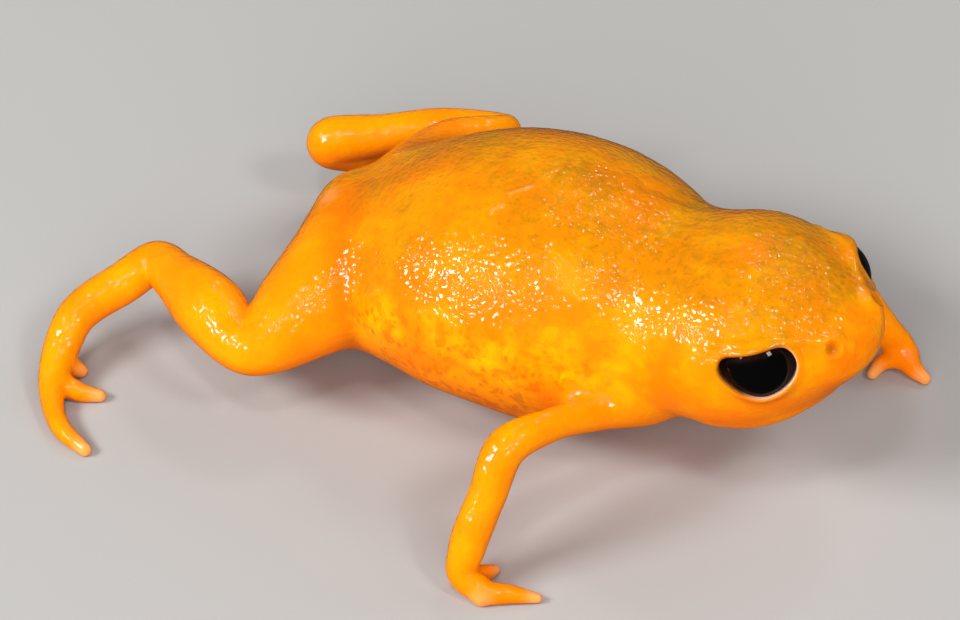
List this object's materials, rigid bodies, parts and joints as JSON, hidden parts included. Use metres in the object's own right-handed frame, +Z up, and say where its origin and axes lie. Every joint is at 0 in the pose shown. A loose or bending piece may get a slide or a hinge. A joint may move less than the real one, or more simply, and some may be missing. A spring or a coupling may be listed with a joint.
{
  "type": "brachycephalus izecksohni toadlet",
  "caption": "Life-size still model of a tiny glossy orange pumpkin toadlet in mid step, head turned to its right, belly just clear of the ground.",
  "frame": {"origin": "on the floor, under the middle of the model's outer box", "axes": "+Z up, +X along the trunk towards the snout, +Y to the animal's left"},
  "size_m": [0.017, 0.0124, 0.0053],
  "materials": {
    "skin": "wet, glossy, finely granular orange skin",
    "eye": "glossy black"
  },
  "bodies": {
    "root": {"torso": "skin", "head": "skin", "right_upper_arm": "skin", "right_forearm": "skin", "right_hand": "skin", "right_thigh": "skin", "right_shank": "skin", "right_foot": "skin", "left_upper_arm": "skin", "left_forearm": "skin", "left_hand": "skin", "left_thigh": "skin", "left_shank": "skin", "left_foot": "skin", "right_eye": "eye", "left_eye": "eye"}
  },
  "joints": []
}
